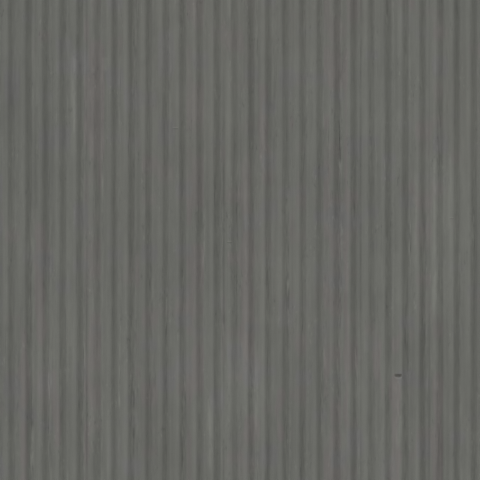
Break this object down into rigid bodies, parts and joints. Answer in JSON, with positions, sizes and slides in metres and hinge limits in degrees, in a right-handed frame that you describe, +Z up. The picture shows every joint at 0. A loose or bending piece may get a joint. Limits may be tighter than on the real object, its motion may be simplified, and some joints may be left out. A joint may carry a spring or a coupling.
{
  "type": "corrugated metal sheet",
  "caption": "Small-pitch corrugated steel sheet with gentle wave-shaped ribs along its length, lying flat, plain cut edges, dull weathered grey finish.",
  "frame": {"origin": "middle of the sheet, on the plane that the undersides of its valleys rest on", "axes": "ribs and length along Y, width along X, +Z up from the valleys to the crests"},
  "size_m": [0.9842, 1.8288, 0.0069],
  "materials": {
    "weathered_steel": "satin"
  },
  "bodies": {
    "root": {"corrugated_sheet": "weathered_steel"}
  },
  "joints": []
}
